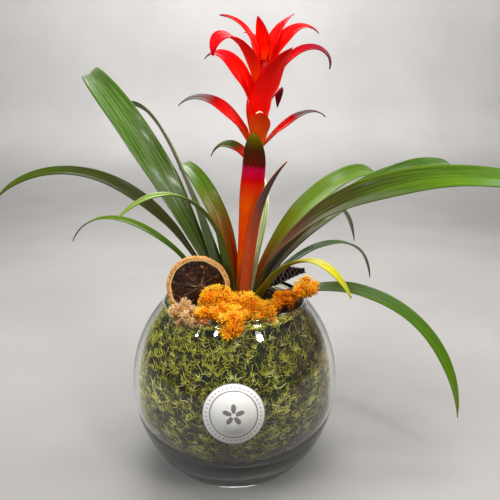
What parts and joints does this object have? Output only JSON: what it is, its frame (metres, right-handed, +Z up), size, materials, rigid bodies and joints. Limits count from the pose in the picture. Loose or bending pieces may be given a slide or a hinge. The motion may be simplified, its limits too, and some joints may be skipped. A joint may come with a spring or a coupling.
{
  "type": "potted guzmania",
  "caption": "Flowering guzmania with a red flower spike and arching strap leaves, planted in a round glass bowl lined with moss and topped with dried decorations.",
  "frame": {"origin": "centre of the bowl's flat foot, on the table", "axes": "+Z up, -Y towards the viewer (the side with the round label), +X to the viewer's right"},
  "size_m": [0.4967, 0.3708, 0.4226],
  "materials": {
    "glass": "clear, smooth blown glass",
    "paper": "satin white label paper",
    "moss": "loose green moss strands",
    "soil": "damp dark potting mix",
    "stem": "matt fibrous stem",
    "leaf": "waxy green leaf, satin gloss",
    "bract": "waxy red bract, satin gloss",
    "petal": "soft cream petal",
    "orange_lichen": "dyed branching lichen, dry and matt",
    "tan_lichen": "dyed branching lichen, dry and matt",
    "dried_citrus": "dried peel and dark glossy dried flesh",
    "cone": "dry weathered scales"
  },
  "bodies": {
    "root": {"bract_back_low": "bract", "bract_back_middle": "bract", "bract_front_cup": "bract", "bract_front_left": "bract", "bract_front_main": "bract", "bract_left_curled": "bract", "bract_left_long": "bract", "bract_left_small": "bract", "bract_right_curled": "bract", "bract_right_drooping": "bract", "bract_right_long": "bract", "bract_right_upper": "bract", "bract_top_back": "bract", "bract_top_front": "bract", "bract_top_inner": "bract", "bract_top_left": "bract", "bract_top_right": "bract", "dried_orange_slice": "dried_citrus", "flower_front": "petal", "flower_stem": "stem", "glass_bowl": "glass", "leaf_back_hanging": "leaf", "leaf_back_left": "leaf", "leaf_back_right": "leaf", "leaf_back_upright": "leaf", "leaf_front_left": "leaf", "leaf_front_right": "leaf", "leaf_left_arching": "leaf", "leaf_left_behind": "leaf", "leaf_left_broad": "leaf", "leaf_left_inner": "leaf", "leaf_left_low": "leaf", "leaf_right_broad": "leaf", "leaf_right_glossy": "leaf", "leaf_right_low": "leaf", "leaf_right_upper": "leaf", "moss_lining": "moss", "orange_lichen_heap": "orange_lichen", "orange_lichen_rim": "orange_lichen", "paper_label": "paper", "pine_cone": "cone", "potting_soil": "soil", "scape_leaf_right": "bract", "scape_sheath": "bract", "tan_lichen": "tan_lichen"}
  },
  "joints": []
}
